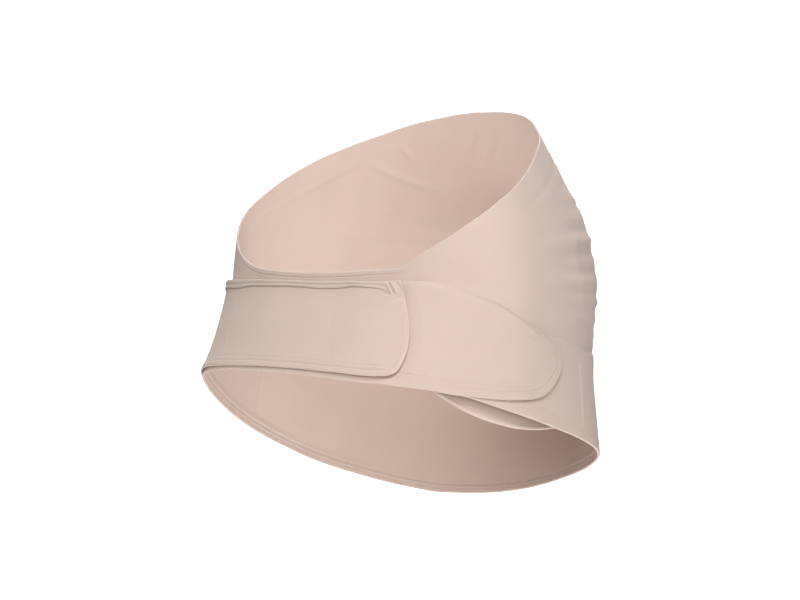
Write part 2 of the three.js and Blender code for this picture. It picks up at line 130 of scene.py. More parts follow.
# Tightening flap: angle, heights of its lower and upper edge as shares of the band's height
FLAP = (
    (-120, -1.45, -0.49), (-98, -1.288, -0.32), (-91, -1.18, -0.21), (-80, -0.995, -0.005),
    (-73, -0.886, 0.11), (-67, -0.804, 0.168), (-57, -0.712, 0.182), (-44, -0.667, 0.184),
    (-26, -0.647, 0.179), (-4, -0.665, 0.162), (15, -0.699, 0.16), (30, -0.7325, 0.152),
    (41, -0.7325, 0.158),
)

# Height of the folded tape along the flap's upper edge: angle, height in mm
TAPE_TALL = (
    (-97, 6.5), (-66, 7.0), (-52.7, 7.9), (-41.4, 5.6), (-29.4, 5.75), (-13.4, 5.3), (-1.9, 6.8),
    (8.2, 6.8), (19.7, 4.9), (28.5, 6.0), (32.0, 7.0), (34.5, 9.8), (37.0, 14.0), (39.3, 15.6),
    (41.1, 15.4),
)

# The flap's rounded free end: share of its height, degrees back from its furthest point
FLAP_ROUND = (
    (0, 8), (0.015, 6.1), (0.045, 4.5), (0.1, 3.3), (0.163, 2.3), (0.229, 1.4),
    (0.335, 0.5), (0.512, 0), (0.63, 0.15), (0.75, 0.4), (0.88, 1.1), (1, 1.85),
)

# Free lower edge of the wrap panel on the closing side: angle, drop as a share of the drop,
# sag inwards as a share of the droop depth
INNER_EDGE = (
    (26, 0.02, 0), (34, -0.12, 0), (40, -0.28, 0), (44, -0.375, 0.05), (47.5, -0.427, 0.2),
    (51, -0.464, 0.4), (56, -0.508, 0.7), (64, -0.554, 0.95), (73, -0.586, 1), (82, -0.596, 0.82),
    (88, -0.594, 0.65), (98, -0.58, 0.35), (110, -0.543, 0.1), (122, -0.462, 0), (132, -0.36, 0),
)

# Gathers along each ruched seam: height as a share of the rise or drop, proud in mm,
# reach in degrees, half height in mm, tilt in mm down per degree away from the seam
GATHERS = (
    (0.86, 0.6, 10, 4.5, 0.2), (0.75, 1.0, 16, 6, 0.35), (0.65, 1.2, 20, 8, 0.3),
    (0.54, 1.5, 24, 7, 0.25), (0.43, 2.0, 32, 8, 0.2), (0.31, 2.9, 46, 8, 0.14),
    (0.19, 2.2, 34, 7, 0.08), (0.09, 3.1, 50, 7.5, 0.02), (-0.01, 2.6, 40, 7, -0.04),
    (-0.1, 2.4, 34, 6, -0.1), (-0.18, 1.8, 22, 5.5, -0.15), (-0.24, 1.2, 14, 4.5, -0.2),
)
GATHER_SHARE = 1.15
GATHER_STRETCH = 1.3

# Small nubs of cloth that the ruched seams draw up: height in mm, proud in mm, half height in mm
NUBS = (
    (138, 0.5, 2.2), (121, 1.1, 2.4), (104, 0.5, 2.0), (90, 1.2, 2.6), (81, 0.9, 2.0), (66, 0.4, 2.2),
    (55, 1.2, 2.3), (38, 0.5, 2.4), (22, 0.4, 2.0), (9, 0.5, 2.4), (-3, 1.1, 2.2), (-19, 0.4, 2.0),
    (-43, 1.0, 2.2),
)

# Soft creases in the panels: from angle and height share to angle and height share, depth in mm
CREASES = (
    (-82, 0.415, -133, 0.752, 1.9), (-133, 0.752, -162, 0.575, 1.8), (82, 0.415, 128, 0.7, 0.5),
    (174, 0.9, 184, 0.76, 2.6), (-147, 0.83, -152, 0.76, 2.2), (-176.5, 0.9, -171, 0.8, 2.3),
    (-186, 0.93, -180, 0.84, 2.0),
)
CREASE_HALF_WIDE = 4.0

# Folds and creases die out over this height above the band and below the rim, in mm
FOLD_CLEAR = 7.0
RIM_CLEAR = 9.0
NUB_REACH = 3.4

# Ridges that run from the bunched end of the tape into the flap: from angle and height in mm
# to angle and height in mm, rise in mm, half width in mm
FLAP_RIDGES = (
    (37.6, 1.5, 24.5, -7.0, 2.2, 2.8), (38.6, -5.0, 22.0, -17.0, 2.0, 3.6),
    (39.3, -11.0, 33.0, -27.0, 0.8, 3.6), (34.0, 6.0, 19.0, 3.0, 0.8, 2.2),
    (-50.0, -58.0, -20.0, -52.0, 0.4, 5.0),
)

# Surface of the cloth
MOTTLE = 0.035
CLOTH_SURFACE = {
    "Sheen Weight": 0.08, "Sheen Roughness": 0.55, "Specular IOR Level": 0.25,
    "Subsurface Weight": 0.16, "Subsurface Radius": (1.0, 0.8, 0.7), "Subsurface Scale": 0.003,
}

# Light of the studio, and its size in m
WHITE = (1.0, 1.0, 1.0, 1.0)
ROOM_LIGHT = 0.17
WHITE_GLOW = 1.3
FLOOR_HEIGHT = -0.62
STUDIO_REACH = 30.0

# Lamps: name, turn round the belt from the middle of the back and lift in degrees,
# distance and width in m, power in W
LAMPS = (
    ("level lamp", 30.0, 15.0, 2.6, 1.2, 23.0),
    ("right lamp", 90.0, 35.0, 2.6, 1.2, 13.0),
    ("left lamp", -45.0, 15.0, 2.6, 0.5, 13.0),
    ("high lamp", 40.0, 50.0, 2.6, 1.2, 30.0),
    ("belly lamp", 215.0, 35.0, 2.6, 1.6, 75.0),
    ("low lamp", 35.0, -89.0, 2.4, 2.0, 54.0),
    ("under lamp", 62.0, -22.0, 2.6, 1.2, 11.0),
    ("low right lamp", 85.0, -58.0, 2.4, 1.6, 9.0),
)

# Camera: turn round the belt in degrees, distance in m, sensor and lens in mm, and how far
# the picture is shifted as a share of its width
VIEW_TURN = 35.4
VIEW_AWAY = 2.4
SENSOR_WIDE = 36.0
LENS_LONG = 120.0
VIEW_SHIFT = 5.32 / 800

# Distances in mm of the fine rows from each edge, and half the step that finds the way outwards
EDGE_STEPS = (0.0, 0.1, 0.3, 0.6, 1.0, 1.6, 2.6, 3.8, 5.2, 6.4, 7.2, 8.2, 9.6, 11.4, 13.4)
NORMAL_STEP = 0.5

# Steps of the columns round the body in degrees, and counts of rows between the fine edges
COLUMN_STEP = 0.7
SEAM_RUN = 2.0
GATHER_ZONE = 45
PANEL_ROWS = 100
FRONT_BAND_ROWS = 22
STRAP_ROWS = 26
PATCH_ROWS = 12


def smooth_step(value):
    share = np.clip(value, 0.0, 1.0)
    return share * share * (3.0 - 2.0 * share)


def grow(value, start, width):
    """From 0 at start to 1 at start + width, softly."""
    return smooth_step((value - start) / width)


def fade(value, start, width):
    """From 1 at start to 0 at start + width, softly."""
    return 1 - grow(value, start, width)


def follow(along, values, at):
    """A smooth curve through a table that never swings past its rows."""
    along = np.asarray(along, float)
    values = np.asarray(values, float)
    at = np.clip(np.asarray(at, float), along[0], along[-1])
    step = np.diff(along)
    rise = np.diff(values) / step
    slope = np.empty_like(values)
    slope[0] = rise[0]
    slope[-1] = rise[-1]
    before = rise[:-1]
    after = rise[1:]
    total = np.where(before + after == 0, 1.0, before + after)
    slope[1:-1] = np.where(before * after <= 0, 0.0, 2.0 * before * after / total)
    row = np.clip(np.searchsorted(along, at, side="left") - 1, 0, len(step) - 1)
    t = (at - along[row]) / step[row]
    low = values[row] * (2 * t**3 - 3 * t**2 + 1)
    high = values[row + 1] * (3 * t**2 - 2 * t**3)
    lean = slope[row] * (t**3 - 2 * t**2 + t) + slope[row + 1] * (t**3 - t**2)
    return low + high + step[row] * lean


def read_off(table, at, index=1):
    return follow([row[0] for row in table], [row[index] for row in table], at)


def height_of(share):
    return np.where(share > 0, share * FRONT_RISE, share * FRONT_DROP)


def body_points(angle, height):
    """Points of the body's surface: an ellipse at the belly and a squarer one at the back."""
    angle, height = np.broadcast_arrays(np.asarray(angle, float), np.asarray(height, float))
    share = np.where(height > 0, height / FRONT_RISE, height / FRONT_DROP)
    sections = BODY_SECTIONS["height"]
    width = HIP_HALF_WIDTH * follow(sections, BODY_SECTIONS["width"], share)
    back = SEAT_REACH * follow(sections, BODY_SECTIONS["back"], share)
    front = BELLY_REACH * follow(sections, BODY_SECTIONS["front"], share)
    turn = np.radians(angle)
    behind = np.cos(turn) > 0
    depth = np.where(behind, back, front)
    power = np.where(behind, BACK_SQUARENESS, FRONT_SQUARENESS)
    across = np.abs(np.sin(turn) / width) ** power
    along = np.abs(np.cos(turn) / depth) ** power
    radius = (across + along) ** (-1.0 / power)
    return np.stack([-radius * np.sin(turn), radius * np.cos(turn), height], -1)


def skin_points(angle, height, proud):
    """Points that stand off the body's surface by proud, measured square to it."""
    angle, height, proud = np.broadcast_arrays(angle, height, np.asarray(proud, float))
    around = body_points(angle + NORMAL_STEP, height) - body_points(angle - NORMAL_STEP, height)
    up = body_points(angle, height + NORMAL_STEP) - body_points(angle, height - NORMAL_STEP)
    outward = np.cross(around, up)
    outward /= np.linalg.norm(outward, axis=-1, keepdims=True)
    return body_points(angle, height) + outward * proud[..., None]


def wrapped(angle):
    return np.where(angle > 180.0, angle - 360.0, angle)


def front_angle(angle):
    return np.where(angle < 0.0, angle + 360.0, angle)


def rim_height(angle):
    return height_of(read_off(RIM, wrapped(angle)))


def front_band_low(angle):
    return FRONT_DROP * read_off(FRONT_BAND, front_angle(angle))


def front_band_high(angle):
    return front_band_low(angle) + BAND_TALL * read_off(FRONT_BAND, front_angle(angle), 2)


def back_band_low(angle):
    return FRONT_DROP * read_off(BACK_BAND, angle)


def back_band_high(angle):
    return back_band_low(angle) + BAND_TALL * read_off(BACK_BAND, angle, 2)


def flap_low(angle):
    return BAND_TALL * read_off(FLAP, angle)


def flap_high(angle):
    return BAND_TALL * read_off(FLAP, angle, 2)


def front_panel_low(angle):
    return front_band_high(angle) - BAND_LAP


def wrap_panel_low(angle):
    """A lap inside the bands, and the free drooping edge on the closing side."""
    first = INNER_EDGE[0][0]
    last = INNER_EDGE[-1][0]
    joined = grow(angle, -SIDE_SEAM, RAMP_WIDE)
    behind = front_band_high(angle) * (1 - joined) + back_band_high(angle) * joined - BAND_LAP
    free = FRONT_DROP * read_off(INNER_EDGE, angle)
    leave = grow(angle, first, RAMP_WIDE)
    join = grow(angle, last, RUCHED_SEAM - last)
    closing = (back_band_high(angle) - BAND_LAP) * (1 - leave) + free * leave
    closing = closing * (1 - join) + front_panel_low(angle) * join
    low = np.where(angle < first, behind, closing)
    return np.where(angle < -SIDE_SEAM, front_panel_low(angle), low)


def sag(angle, height):
    """How far the wrap panel sags inwards below the top of the band on the closing side."""
    top = front_band_high(angle)
    tall = np.maximum(top - wrap_panel_low(angle), 1.0)
    down = smooth_step((top - height) / tall)
    depth = DROOP_DEPTH * read_off(INNER_EDGE, angle, 2)
    return np.where(angle < HIDDEN_END / 2, 0.0, depth * down)


def gather(angle, height):
    """Height of the folds that run out from the ruched seams."""
    away = np.abs(np.abs(wrapped(angle)) - RUCHED_SEAM)
    clear = grow(height, front_band_high(angle), FOLD_CLEAR)
    below = smooth_step((rim_height(angle) - height) / RIM_CLEAR)
    at_side = np.abs(wrapped(angle)) < RUCHED_SEAM
    swell = 0.55 + 0.6 * grow(away, 4.0, 12.0)
    swell = swell + 0.85 * at_side * grow(away, 18.0, 8.0) * fade(away, 30.0, 22.0)
    proud = 0.0
    for share, rise, reach, half_tall, tilt in GATHERS:
        middle = float(height_of(np.array(share))) - tilt * away
        off = (height - middle) / half_tall
        ridge = GATHER_SHARE * rise * np.exp(-off * off)
        proud = proud + ridge * swell * fade(away, 0.0, GATHER_STRETCH * reach)
    for middle, rise, half_tall in NUBS:
        off = (height - middle) / half_tall
        proud = proud + rise * np.exp(-off * off - (away / NUB_REACH) ** 2)
    return proud * clear * below


def crease(angle, height):
    """Depth of the soft creases in the panels."""
    here = body_points(angle, height)
    depth = 0.0
    for a0, h0, a1, h1, deep in CREASES:
        seen = wrapped(angle) if a0 < 0 else front_angle(angle)
        along = np.clip((seen - a0) / (a1 - a0), 0.0, 1.0)
        line = body_points(a0 + (a1 - a0) * along, height_of(h0 + (h1 - h0) * along))
        off = np.linalg.norm(here - line, axis=-1) / CREASE_HALF_WIDE
        depth = depth + deep * np.sqrt(np.sin(math.pi * along)) * np.exp(-off * off)
    return depth * grow(height, front_band_high(angle), FOLD_CLEAR)


def settle(angle, height):
    """The slow unevenness that all layers share."""
    turn = np.radians(angle)
    wave = 0.32 * np.sin(5 * turn + height * 0.023 + 1.3)
    wave = wave + 0.24 * np.sin(9 * turn - height * 0.031 + 0.4)
    return wave + 0.16 * np.sin(14 * turn + height * 0.052 + 2.2)


def ridge_lines(angle, height, lines):
    """Rise of the ridges that a table of lines gives, with heights in mm."""
    rise = 0.0
    here = body_points(angle, height)
    for a0, z0, a1, z1, proud, half_wide in lines:
        along = np.clip((angle - a0) / (a1 - a0), 0.0, 1.0)
        line = body_points(a0 + (a1 - a0) * along, z0 + (z1 - z0) * along)
        off = np.linalg.norm(here - line, axis=-1) / (half_wide * (1 + along))
        rise = rise + proud * (1 - smooth_step(along)) * np.exp(-off * off)
    return rise


FIRST_LAYER = CLOTH_THICK + LAYER_GAP
SECOND_LAYER = FIRST_LAYER + CLOTH_THICK + LAYER_GAP
HOOK_RISE = HOOK_THICK + LAYER_GAP


def hidden_end_angle(height):
    """The rounded hidden end of the under-belly band, felt through the tongue."""
    off = (height + 22.0) / 40.0
    return HIDDEN_END + 0.8 - 3.6 * off * off


def back_band_inner(angle, height):
    """It steps up over the hidden end and the hook patch, and its top edge hugs the panel."""
    over_end = grow(angle, HIDDEN_END - 10.5, 12.0)
    over_hook = grow(angle, TONGUE_PATCH_START - 6.0, 10.0)
    crest = 0.3 * np.exp(-(((angle - hidden_end_angle(height)) / 0.9) ** 2))
    base = FIRST_LAYER + (SECOND_LAYER - FIRST_LAYER) * over_end + 0.6 * over_hook + crest
    free_top = over_end * fade(angle, 78.0, 6.0)
    over_panel = grow(height, front_band_high(angle) - 3.0, 9.0)
    return base - (base - PANEL_FACE) * free_top * over_panel


def flap_inner(angle):
    return SECOND_LAYER + HOOK_RISE * grow(angle, FLAP_PATCH_START - 8.0, 16.0)


def spread(start, end, step):
    count = max(1, round(abs(end - start) / step))
    return np.linspace(start, end, count + 1)


def seam_run(seam, inward):
    """Fine columns inwards from a seam. The first is hair thin, which hides its change of light."""
    fine = np.arange(0.25, SEAM_RUN + 0.1, 0.25)
    return np.array([seam, seam + SEAM_SLIVER * inward, *(seam + inward * fine)])


def join_runs(*runs):
    return np.concatenate([runs[0]] + [run[1:] for run in runs[1:]])


def row_distances(tall, middle):
    """Distances of the rows from the lower edge: fine at both edges and even between them."""
    steps = np.array(EDGE_STEPS)
    room = np.minimum(1.0, 0.46 * tall / steps[-1])[:, None]
    low = steps[None, :] * room
    inside = tall[:, None] - 2 * low[:, -1:]
    between = np.linspace(0, 1, middle + 2)[1:-1][None, :] * inside + low[:, -1:]
    return np.concatenate([low, between, tall[:, None] - low[:, ::-1]], 1)


def run_along(line):
    """Distance of each point of a line from its first one."""
    return np.concatenate([[0.0], np.cumsum(np.linalg.norm(np.diff(line, axis=0), axis=1))])


def distances_from(line, points):
    """How far each point lies from a line of points."""
    run = run_along(line)
    fine = np.linspace(0, run[-1], max(2, int(run[-1] / 0.4)))
    dense = np.stack([np.interp(fine, run, line[:, axis]) for axis in range(3)], 1)
    tree = KDTree(len(dense))
    for index, point in enumerate(dense):
        tree.insert(point, index)
    tree.balance()
    flat = points.reshape(-1, 3)
    found = np.array([tree.find(point)[2] for point in flat])
    return found.reshape(points.shape[:-1])


def add_to_scene(name, data):
    thing = bpy.data.objects.new(name, data)
    bpy.context.scene.collection.objects.link(thing)
    return thing


def make_object(name, points, faces, material, uv, marks):
    mesh = bpy.data.meshes.new(name)
    mesh.from_pydata((points * 0.001).tolist(), [], faces)
    mesh.update()
    layer = mesh.uv_layers.new(name="cloth")
    corners = np.zeros(len(mesh.loops), np.int32)
    mesh.loops.foreach_get("vertex_index", corners)
    layer.data.foreach_set("uv", (uv[corners] * 0.001).astype(np.float32).ravel())
    for mark, values in marks.items():
        attribute = mesh.attributes.new(mark, "FLOAT", "POINT")
        attribute.data.foreach_set("value", values.astype(np.float32))
    mesh.shade_smooth()
    mesh.materials.append(material)
    return add_to_scene(name, mesh)


def closed_wall(name, columns, low, high, shape, material, middle, turned=None, seams=()):
    """A cloth wall as one closed surface. shape gives the offsets of its inner and outer face.
    seams names the ends that meet a neighbour, where only the outer face dips."""
    tall = high(columns) - low(columns)
    rows = row_distances(tall, middle)
    share = rows / tall[:, None]
    angle = np.repeat(columns[:, None], rows.shape[1], 1)
    if turned is not None:
        angle = turned(angle, share)
    height = low(angle) + (high(angle) - low(angle)) * share
    guide = skin_points(angle, height, 0.0)
    edges = {"low": guide[:, 0], "high": guide[:, -1], "start": guide[0], "end": guide[-1]}
    away = {edge: distances_from(line, guide) for edge, line in edges.items()}
    away["low"][:, 0] = 0.0
    away["high"][:, -1] = 0.0
    away["start"][0] = 0.0
    away["end"][-1] = 0.0
    inner, outer, hem, pressed = shape(angle, height, away)
    lift = settle(angle, height)
    inner = inner + lift
    outer = outer + lift
    free = np.full(angle.shape, 1e3)
    for edge in edges:
        if edge not in seams:
            free = np.minimum(free, away[edge])
    half = (outer - inner) / 2
    middle_face = (outer + inner) / 2
    rounding = np.sqrt(1 - (1 - np.minimum(free / np.maximum(half, 0.1), 1.0)) ** 2)
    inner = middle_face - half * rounding
    outer = middle_face + half * rounding
    for edge in seams:
        dip = np.sqrt(1 - (1 - np.minimum(away[edge] / 2.4, 1.0)) ** 2)
        outer = inner + (outer - inner) * dip
    outside = skin_points(angle, height, outer)
    inside = skin_points(angle, height, inner)
    run = run_along(guide[:, guide.shape[1] // 2])
    across = np.repeat(run[:, None], rows.shape[1], 1)
    climb = np.linalg.norm(np.diff(guide, axis=1), axis=-1)
    climb = np.concatenate([np.zeros((len(columns), 1)), np.cumsum(climb, 1)], 1)
    climb = climb + low(angle)[:, :1]
    marks = {"from_edge": hem, "pressed": pressed + 0 * hem}
    return stitch_faces(name, outside, inside, across, climb, marks, material)


def stitch_faces(name, outside, inside, across, climb, marks, material):
    """Joins the two faces of a wall, whose rims share their points. Each point keeps its marks."""
    stations, rows = outside.shape[:2]
    out_index = np.arange(stations * rows).reshape(stations, rows)
    in_index = out_index + stations * rows
    in_index[:, 0] = out_index[:, 0]
    in_index[:, -1] = out_index[:, -1]
    in_index[0] = out_index[0]
    in_index[-1] = out_index[-1]
    quads = []
    for grid, order in ((out_index, (0, 1, 2, 3)), (in_index, (0, 3, 2, 1))):
        corners = (grid[:-1, :-1], grid[1:, :-1], grid[1:, 1:], grid[:-1, 1:])
        quads.append(np.stack([corners[place] for place in order], -1).reshape(-1, 4))
    quads = np.concatenate(quads)
    points = np.concatenate([outside.reshape(-1, 3), inside.reshape(-1, 3)])
    uv = np.tile(np.stack([across, climb], -1).reshape(-1, 2), (2, 1))
    used, quads = np.unique(quads, return_inverse=True)
    quads = quads.reshape(-1, 4)
    marks = {mark: np.tile(values.ravel(), 2)[used] for mark, values in marks.items()}
    return make_object(name, points[used], quads.tolist(), material, uv[used], marks)


def add_node(tree, kind, inputs, **settings):
    """A node with its settings made, and its inputs linked or set."""
    node = tree.nodes.new(kind)
    for setting, value in settings.items():
        setattr(node, setting, value)
    for place, value in inputs.items():
        if hasattr(value, "links"):
            tree.links.new(value, node.inputs[place])
        else:
            node.inputs[place].default_value = value
    return node


def add_math(tree, operation, *values):
    return add_node(tree, "ShaderNodeMath", dict(enumerate(values)), operation=operation).outputs[0]


def new_tree(name, kind, inputs, outputs):
    """A node tree and what is given to it. Sockets are rows of name, kind and perhaps a value."""
    tree = bpy.data.node_groups.new(name, kind)
    for in_out, rows in (("INPUT", inputs), ("OUTPUT", outputs)):
        for label, form, *value in rows:
            kind = "NodeSocket" + form
            socket = tree.interface.new_socket(name=label, in_out=in_out, socket_type=kind)
            if value:
                socket.default_value = value[0]
    return tree, tree.nodes.new("NodeGroupInput").outputs


def knit_group():
    """Fine jersey knit with a brushed face: height of the loops and a soft mottle."""
    inputs = (
        ("Cloth", "Vector"), ("Loop", "Float", 0.0011), ("Fuzz", "Float", 0.5),
        ("Mottle Size", "Float", 0.03),
    )
    outputs = (("Height", "Float"), ("Mottle", "Float"))
    tree, given = new_tree("fine knit", "ShaderNodeTree", inputs, outputs)
    split = add_node(tree, "ShaderNodeSeparateXYZ", {0: given["Cloth"]})
    turns = add_math(tree, "DIVIDE", 2 * math.pi, given["Loop"])
    wale = add_math(tree, "MULTIPLY", split.outputs["X"], turns)
    course = add_math(tree, "MULTIPLY", split.outputs["Y"], turns)
    half_wale = add_math(tree, "MULTIPLY", wale, 0.5)
    lean = add_math(tree, "ABSOLUTE", add_math(tree, "SINE", half_wale))
    course = add_math(tree, "MULTIPLY_ADD", lean, 1.7, course)
    loops = add_math(tree, "MULTIPLY_ADD", add_math(tree, "SINE", course), 0.25, lean)
    fine = {"Scale": 1400.0, "Detail": 3.0, "Vector": given["Cloth"]}
    fuzz = add_node(tree, "ShaderNodeTexNoise", fine)
    soft = add_math(tree, "MULTIPLY", fuzz.outputs[0], given["Fuzz"])
    scale = add_math(tree, "DIVIDE", 1.0, given["Mottle Size"])
    broad = {"Detail": 5.0, "Roughness": 0.62, "Vector": given["Cloth"], "Scale": scale}
    mottle = add_node(tree, "ShaderNodeTexNoise", broad)
    height = add_math(tree, "ADD", loops, soft)
    add_node(tree, "NodeGroupOutput", {"Height": height, "Mottle": mottle.outputs[0]})
    return tree


def hem_group():
    """Grooves that needle rows press into the cloth beside its edge, from the distance to it."""
    inputs = (
        ("From Edge", "Float", 0.0), ("First Row", "Float", 6.0), ("Second Row", "Float", 8.0),
        ("Half Width", "Float", 0.9),
    )
    tree, given = new_tree("hem lines", "ShaderNodeTree", inputs, (("Groove", "Float"),))
    dips = []
    for row in ("First Row", "Second Row"):
        off = add_math(tree, "ABSOLUTE", add_math(tree, "SUBTRACT", given["From Edge"], given[row]))
        off = add_math(tree, "DIVIDE", off, given["Half Width"])
        dips.append(add_math(tree, "SMOOTH_MAX", add_math(tree, "SUBTRACT", 1.0, off), 0.0, 0.15))
    add_node(tree, "NodeGroupOutput", {"Groove": add_math(tree, "ADD", *dips)})
    return tree


KNIT = knit_group()
HEM_LINES = hem_group()


def new_material(name):
    """A material, its node tree and the inputs of its surface."""
    material = bpy.data.materials.new(name)
    material.use_nodes = True
    tree = material.node_tree
    return material, tree, tree.nodes["Principled BSDF"].inputs


def tint(tree, surface, dark, light, share):
    """Gives a surface a colour between a dark and a light one."""
    colors = {"A": (*dark, 1.0), "B": (*light, 1.0), "Factor": share}
    shade = add_node(tree, "ShaderNodeMix", colors, data_type="RGBA")
    tree.links.new(shade.outputs["Result"], surface["Base Color"])


def cloth_material(name, color, loop, rows=None, rough=0.86):
    """A matte knit. rows are the distances of its two needle rows from the edge, in mm."""
    material, tree, surface = new_material(name)
    cloth = add_node(tree, "ShaderNodeUVMap", {}, uv_map="cloth")
    knit = add_node(tree, "ShaderNodeGroup", {}, node_tree=KNIT)
    knit.inputs["Loop"].default_value = loop
    tree.links.new(cloth.outputs[0], knit.inputs["Cloth"])
    dark = [part * (1 - MOTTLE) for part in color]
    light = [min(1.0, part * (1 + MOTTLE)) for part in color]
    tint(tree, surface, dark, light, knit.outputs["Mottle"])
    relief = {"Strength": 0.35, "Distance": 0.00016, "Height": knit.outputs["Height"]}
    grain = add_node(tree, "ShaderNodeBump", relief)
    if rows is not None:
        edge = add_node(tree, "ShaderNodeAttribute", {}, attribute_name="from_edge")
        pressed = add_node(tree, "ShaderNodeAttribute", {}, attribute_name="pressed")
        lines = {"First Row": rows[0], "Second Row": rows[1], "From Edge": edge.outputs["Fac"]}
        hem = add_node(tree, "ShaderNodeGroup", lines, node_tree=HEM_LINES)
        depth = add_math(tree, "MULTIPLY", hem.outputs["Groove"], pressed.outputs["Fac"])
        groove = {"Strength": 0.7, "Distance": 0.0004, "Height": depth}
        press = add_node(tree, "ShaderNodeBump", groove, invert=True)
        tree.links.new(press.outputs[0], grain.inputs["Normal"])
    tree.links.new(grain.outputs[0], surface["Normal"])
    surface["Roughness"].default_value = rough
    for label, value in CLOTH_SURFACE.items():
        surface[label].default_value = value
    return material


def thread_material():
    """Twisted sewing thread, a shade lighter than the cloth."""
    material, tree, surface = new_material("sewing thread")
    place = add_node(tree, "ShaderNodeTexCoord", {})
    twist = add_node(tree, "ShaderNodeTexNoise", {"Scale": 2600.0, "Vector": place.outputs["Object"]})
    tint(tree, surface, (0.66, 0.525, 0.45), (0.76, 0.62, 0.54), twist.outputs[0])
    relief = add_node(tree, "ShaderNodeBump", {"Distance": 0.0001, "Height": twist.outputs[0]})
    tree.links.new(relief.outputs[0], surface["Normal"])
    surface["Roughness"].default_value = 0.6
    return material


RIM_ROWS = (RIM_HEM_WIDE, RIM_HEM_WIDE)
FLAP_ROWS = (FLAP_ROLL_WIDE + 0.4, 9.6)
PANEL_CLOTH = cloth_material("stretch panel knit", (0.68, 0.55, 0.481), 0.0011, rows=RIM_ROWS)
BAND_CLOTH = cloth_material("band knit", (0.665, 0.532, 0.461), 0.0010, rows=(HEM_FIRST_ROW, HEM_WIDE))
STRAP_CLOTH = cloth_material("strap knit", (0.675, 0.538, 0.466), 0.0010, rows=FLAP_ROWS)
TAPE_CLOTH = cloth_material("folded tape", (0.66, 0.532, 0.464), 0.0008, rough=0.8)
HOOK_CLOTH = cloth_material("hook tape", (0.56, 0.43, 0.36), 0.0019, rough=0.95)
THREAD = thread_material()


def thin_top(away, wide, least):
    """Share of the cloth's thickness that is left towards a pared upper edge."""
    return least + (1 - least) * smooth_step(away["high"] / wide)


def rim_hem(away):
    return RIM_RISE * fade(away["high"], RIM_HEM_WIDE, 2.0)


def front_panel_shape(angle, height, away):
    folds = gather(angle, height)
    dent = crease(angle, height)
    return 0.35 * folds - dent - rim_hem(away), CLOTH_THICK + folds - dent, away["high"], 0.12


def wrap_panel_shape(angle, height, away):
    folds = gather(angle, height)
    dent = crease(angle, height) + sag(angle, height)
    droops = grow(angle, HIDDEN_END, 4.0) * fade(angle, 108.0, 8.0)
    free = droops * fade(away["low"], DROOP_HEM_WIDE, 1.2)
    inner = 0.35 * folds - dent - rim_hem(away) - 0.5 * free
    seen = grow(angle, -88.0, 16.0) * fade(angle, 32.0, 10.0)
    hemmed = 0.12 * seen * fade(away["high"], RIM_HEM_WIDE, 1.0)
    edge = np.where(droops > 0.02, away["low"] + RIM_HEM_WIDE - DROOP_HEM_WIDE, away["high"])
    outer = CLOTH_THICK + folds - dent + 0.55 * free + hemmed
    return inner, outer, edge, np.maximum(0.5 * seen * (droops < 0.02), 0.9 * droops) + 0.12


def needle_rows(away):
    """Where the facing's first two needle rows press the cloth in."""
    return sum(np.exp(-(((away["low"] - row) / NEEDLE_HALF_WIDE) ** 2)) for row in FACING_ROWS[:2])


def front_band_shape(angle, height, away):
    fold = fade(away["low"], HEM_WIDE, 1.0)
    facing = fade(away["low"], INNER_HEM_WIDE, 1.0)
    rest = FIRST_LAYER - (FIRST_LAYER - PANEL_FACE) * grow(angle, 84.0, 6.0)
    hug = fade(away["high"], 0.0, BAND_LAP)
    inner = FIRST_LAYER + (rest - FIRST_LAYER) * hug
    outer = inner + CLOTH_THICK * thin_top(away, 4.0, 0.4) + 0.15 * fold
    return inner - 0.8 * facing * (1 - needle_rows(away)), outer, away["low"], 0.9


def back_band_shape(angle, height, away):
    edge = np.minimum(away["low"], away["end"])
    edge = np.minimum(edge, away["high"] + 30.0 * fade(angle, 72.0, 6.0))
    tongue = grow(angle, HIDDEN_END, 20.0)
    mark = smooth_step((-34.0 - height) / 12.0) * (0.3 + 0.7 * tongue)
    fold = mark * fade(edge, HEM_WIDE, 1.6)
    inner = back_band_inner(angle, height)
    facing = fade(away["low"], INNER_HEM_WIDE, 1.0) * fade(angle, -50.0, 20.0)
    blend = grow(angle, 82.0, 6.0)
    pared = thin_top(away, 5.0, 0.35) * (1 - blend) + blend
    top = tongue * (1 - blend) * fade(away["high"], 2.6, 1.2)
    edge = edge * (1 - top) + (HEM_FIRST_ROW + away["high"] - 1.0) * top
    outer = inner + CLOTH_THICK * pared + HEM_RISE * fold
    return inner + (0.5 * needle_rows(away) - 0.6) * facing, outer, edge, np.maximum(mark, 1.3 * top)


def flap_shape(angle, height, away):
    edge = np.minimum(away["low"], away["end"])
    corner = fade(away["low"], 12.0, 16.0)
    roll = (0.1 + 0.5 * corner) * fade(edge, FLAP_ROLL_WIDE - 1.2, 2.4)
    inner = flap_inner(angle)
    rise = ridge_lines(angle, height, FLAP_RIDGES)
    mark = corner * grow(away["end"], 6.0, 8.0)
    return inner + 0.1 + 0.7 * rise, inner + CLOTH_THICK + rise + roll, away["low"], mark


def flap_turned(angle, share):
    start = -SIDE_SEAM
    along = np.clip((angle - start) / (FLAP_END - start), 0.0, 1.0)
    back = read_off(FLAP_ROUND, share)
    return angle - along**FLAP_END_POWER * back


def patch_shape(angle, height, away):
    bed = SECOND_LAYER + 0.1 + 0 * angle
    return bed, bed + 0.5 + 0.12 * np.sin(angle * 9.0) * np.sin(height * 1.6), away["low"], 0.0


